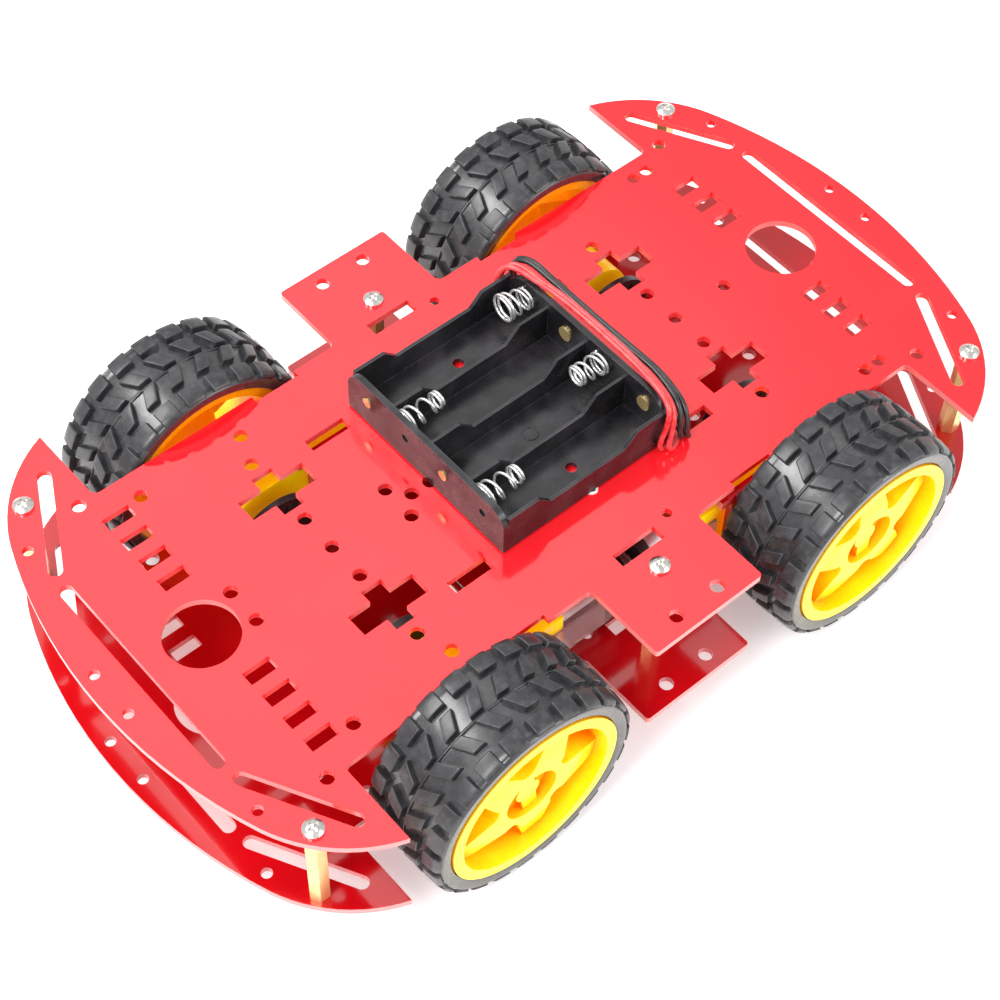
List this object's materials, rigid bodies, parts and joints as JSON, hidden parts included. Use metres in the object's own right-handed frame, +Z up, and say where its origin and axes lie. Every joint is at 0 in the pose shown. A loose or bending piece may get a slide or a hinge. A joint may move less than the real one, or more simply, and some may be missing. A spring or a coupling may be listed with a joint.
{
  "type": "four wheel robot chassis",
  "caption": "Two-deck wheeled robot chassis: slotted sheet decks on spacers, geared motors with spoked rubber-tyred wheels, encoder discs and an open battery holder.",
  "frame": {"origin": "on the floor under the middle of the chassis, midway between the axles and the two sides", "axes": "+X towards the front bumper (the end with three deck slots a side), +Y to the left, +Z up"},
  "size_m": [0.2618, 0.1592, 0.0686],
  "materials": {
    "red_acrylic": "polished sheet, laser-cut edges",
    "brass": "machined",
    "nickel_steel": "nickel plated",
    "yellow_plastic": "moulded, satin gloss",
    "can_steel": "zinc plated, drawn",
    "black_plastic": "moulded, fine texture",
    "clear_plastic": "clear, thin",
    "magnet": "sintered",
    "holder_plastic": "moulded, satin",
    "spring_steel": "plated wire",
    "foam_tape": "white foam",
    "red_insulation": "smooth",
    "black_insulation": "smooth",
    "tyre": "moulded rubber",
    "white_plastic": "nylon",
    "rotor_steel": "laminations with copper windings"
  },
  "bodies": {
    "chassis": {"top_plate": "red_acrylic", "bottom_plate": "red_acrylic", "standoffs": "brass", "top_screws": "nickel_steel", "bottom_screws": "nickel_steel", "motor_bolts": "nickel_steel", "motor_nuts": "nickel_steel", "inner_brackets": "red_acrylic", "outer_brackets": "red_acrylic", "gearbox_inner_shells": "yellow_plastic", "gearbox_outer_shells": "yellow_plastic", "gearbox_screws": "nickel_steel", "gear_pins": "nickel_steel", "motor_cans": "can_steel", "motor_end_caps": "black_plastic", "motor_terminals": "brass", "motor_straps": "clear_plastic", "motor_magnets": "magnet", "battery_holder": "holder_plastic", "cell_contacts": "brass", "cell_springs": "spring_steel", "holder_tape": "foam_tape", "red_wire": "red_insulation", "black_wire": "black_insulation"},
    "wheel_fl": {"tyre_fl": "tyre", "wheel_rim_fl": "yellow_plastic", "output_shaft_fl": "white_plastic", "encoder_disc_fl": "black_plastic"},
    "second_gear_fl": {"second_gear_fl": "white_plastic"},
    "crown_gear_fl": {"crown_gear_fl": "white_plastic"},
    "motor_rotor_fl": {"rotor_fl": "rotor_steel"},
    "wheel_fr": {"tyre_fr": "tyre", "wheel_rim_fr": "yellow_plastic", "output_shaft_fr": "white_plastic", "encoder_disc_fr": "black_plastic"},
    "second_gear_fr": {"second_gear_fr": "white_plastic"},
    "crown_gear_fr": {"crown_gear_fr": "white_plastic"},
    "motor_rotor_fr": {"rotor_fr": "rotor_steel"},
    "wheel_rl": {"tyre_rl": "tyre", "wheel_rim_rl": "yellow_plastic", "output_shaft_rl": "white_plastic", "encoder_disc_rl": "black_plastic"},
    "second_gear_rl": {"second_gear_rl": "white_plastic"},
    "crown_gear_rl": {"crown_gear_rl": "white_plastic"},
    "motor_rotor_rl": {"rotor_rl": "rotor_steel"},
    "wheel_rr": {"tyre_rr": "tyre", "wheel_rim_rr": "yellow_plastic", "output_shaft_rr": "white_plastic", "encoder_disc_rr": "black_plastic"},
    "second_gear_rr": {"second_gear_rr": "white_plastic"},
    "crown_gear_rr": {"crown_gear_rr": "white_plastic"},
    "motor_rotor_rr": {"rotor_rr": "rotor_steel"}
  },
  "joints": [
    {"name": "wheel_spin_fl", "type": "hinge", "parent": "chassis", "child": "wheel_fl", "pos_m": [0.0594, 0, 0.0325], "axis": [0, 1, 0], "continuous": true},
    {"name": "second_gear_spin_fl", "type": "hinge", "parent": "chassis", "child": "second_gear_fl", "pos_m": [0.04815, 0, 0.0325], "axis": [0, 1, 0], "continuous": true},
    {"name": "crown_gear_spin_fl", "type": "hinge", "parent": "chassis", "child": "crown_gear_fl", "pos_m": [0.03815, 0, 0.0325], "axis": [0, 1, 0], "continuous": true},
    {"name": "rotor_spin_fl", "type": "hinge", "parent": "chassis", "child": "motor_rotor_fl", "pos_m": [0, 0.0403, 0.0325], "axis": [1, 0, 0], "continuous": true},
    {"name": "wheel_spin_fr", "type": "hinge", "parent": "chassis", "child": "wheel_fr", "pos_m": [0.0594, 0, 0.0325], "axis": [0, 1, 0], "continuous": true},
    {"name": "second_gear_spin_fr", "type": "hinge", "parent": "chassis", "child": "second_gear_fr", "pos_m": [0.04815, 0, 0.0325], "axis": [0, 1, 0], "continuous": true},
    {"name": "crown_gear_spin_fr", "type": "hinge", "parent": "chassis", "child": "crown_gear_fr", "pos_m": [0.03815, 0, 0.0325], "axis": [0, 1, 0], "continuous": true},
    {"name": "rotor_spin_fr", "type": "hinge", "parent": "chassis", "child": "motor_rotor_fr", "pos_m": [0, -0.0403, 0.0325], "axis": [1, 0, 0], "continuous": true},
    {"name": "wheel_spin_rl", "type": "hinge", "parent": "chassis", "child": "wheel_rl", "pos_m": [-0.0594, 0, 0.0325], "axis": [0, 1, 0], "continuous": true},
    {"name": "second_gear_spin_rl", "type": "hinge", "parent": "chassis", "child": "second_gear_rl", "pos_m": [-0.04815, 0, 0.0325], "axis": [0, 1, 0], "continuous": true},
    {"name": "crown_gear_spin_rl", "type": "hinge", "parent": "chassis", "child": "crown_gear_rl", "pos_m": [-0.03815, 0, 0.0325], "axis": [0, 1, 0], "continuous": true},
    {"name": "rotor_spin_rl", "type": "hinge", "parent": "chassis", "child": "motor_rotor_rl", "pos_m": [0, 0.0403, 0.0325], "axis": [1, 0, 0], "continuous": true},
    {"name": "wheel_spin_rr", "type": "hinge", "parent": "chassis", "child": "wheel_rr", "pos_m": [-0.0594, 0, 0.0325], "axis": [0, 1, 0], "continuous": true},
    {"name": "second_gear_spin_rr", "type": "hinge", "parent": "chassis", "child": "second_gear_rr", "pos_m": [-0.04815, 0, 0.0325], "axis": [0, 1, 0], "continuous": true},
    {"name": "crown_gear_spin_rr", "type": "hinge", "parent": "chassis", "child": "crown_gear_rr", "pos_m": [-0.03815, 0, 0.0325], "axis": [0, 1, 0], "continuous": true},
    {"name": "rotor_spin_rr", "type": "hinge", "parent": "chassis", "child": "motor_rotor_rr", "pos_m": [0, -0.0403, 0.0325], "axis": [1, 0, 0], "continuous": true}
  ],
  "couplings": [
    {"joint": "second_gear_spin_fl", "follows": "wheel_spin_fl", "ratio": -4},
    {"joint": "crown_gear_spin_fl", "follows": "wheel_spin_fl", "ratio": 12},
    {"joint": "rotor_spin_fl", "follows": "wheel_spin_fl", "ratio": 48},
    {"joint": "second_gear_spin_fr", "follows": "wheel_spin_fr", "ratio": -4},
    {"joint": "crown_gear_spin_fr", "follows": "wheel_spin_fr", "ratio": 12},
    {"joint": "rotor_spin_fr", "follows": "wheel_spin_fr", "ratio": -48},
    {"joint": "second_gear_spin_rl", "follows": "wheel_spin_rl", "ratio": -4},
    {"joint": "crown_gear_spin_rl", "follows": "wheel_spin_rl", "ratio": 12},
    {"joint": "rotor_spin_rl", "follows": "wheel_spin_rl", "ratio": -48},
    {"joint": "second_gear_spin_rr", "follows": "wheel_spin_rr", "ratio": -4},
    {"joint": "crown_gear_spin_rr", "follows": "wheel_spin_rr", "ratio": 12},
    {"joint": "rotor_spin_rr", "follows": "wheel_spin_rr", "ratio": 48}
  ]
}
